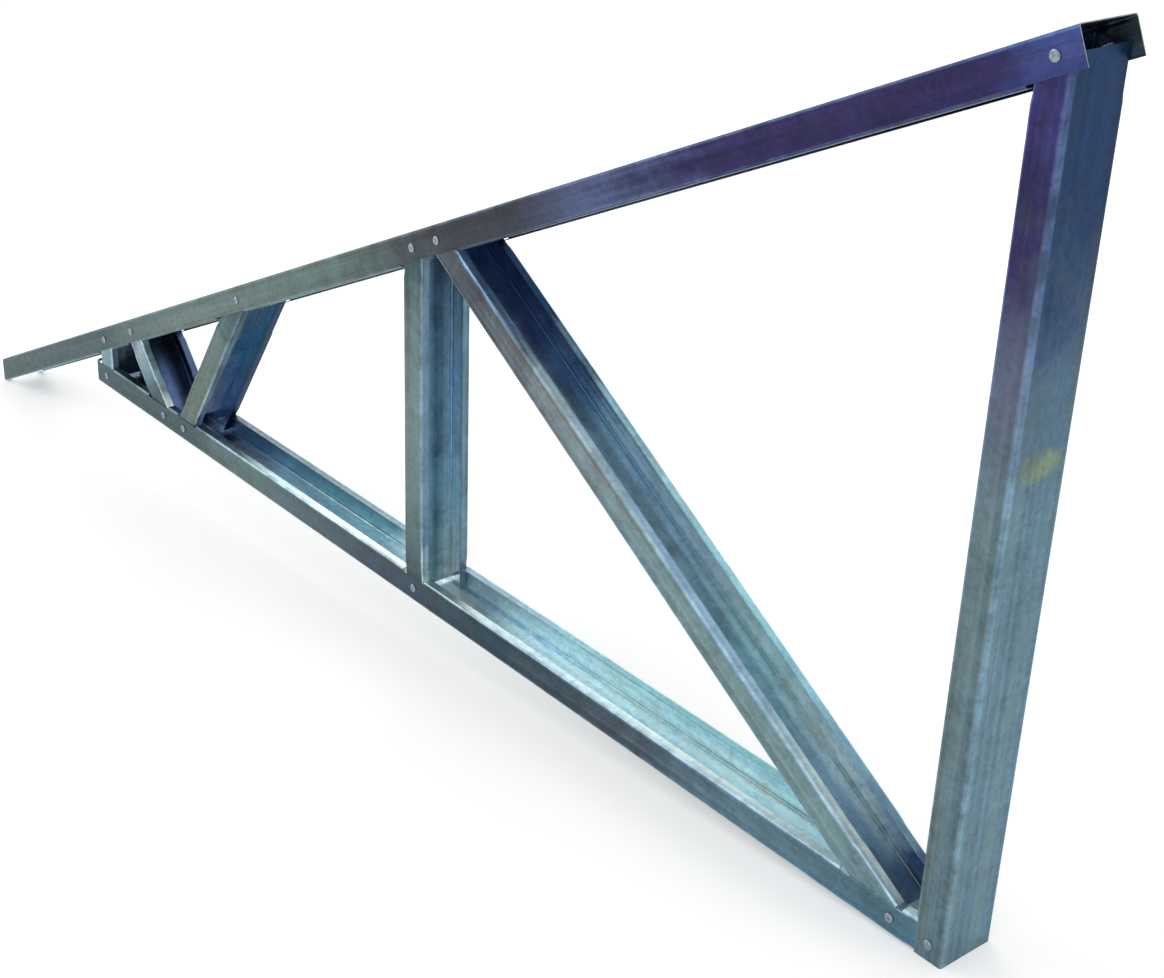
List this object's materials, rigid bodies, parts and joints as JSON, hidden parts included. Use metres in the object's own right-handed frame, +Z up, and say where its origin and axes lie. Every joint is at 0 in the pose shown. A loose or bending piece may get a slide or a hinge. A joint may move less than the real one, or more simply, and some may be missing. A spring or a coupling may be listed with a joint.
{
  "type": "light steel truss",
  "caption": "Half roof truss of cold-formed lipped steel channel: sloping top chord with an eave tail, level bottom chord, end post and webs nested in the chords.",
  "frame": {"origin": "on the floor, below the middle of the truss's length and depth, as it stands on the tip of its eave tail and the foot of its end post", "axes": "+X from the eave tail towards the end post, +Y across the channels' depth, +Z up"},
  "size_m": [2.279, 0.075, 0.9311],
  "materials": {
    "galvanised_steel": "bare hot-dip galvanised sheet, bluish grey, rolled lengthwise, satin"
  },
  "bodies": {
    "root": {"top_chord": "galvanised_steel", "bottom_chord": "galvanised_steel", "end_post": "galvanised_steel", "vertical_web": "galvanised_steel", "long_diagonal": "galvanised_steel", "inner_short_web": "galvanised_steel", "outer_short_web": "galvanised_steel", "heel_stub": "galvanised_steel"}
  },
  "joints": []
}
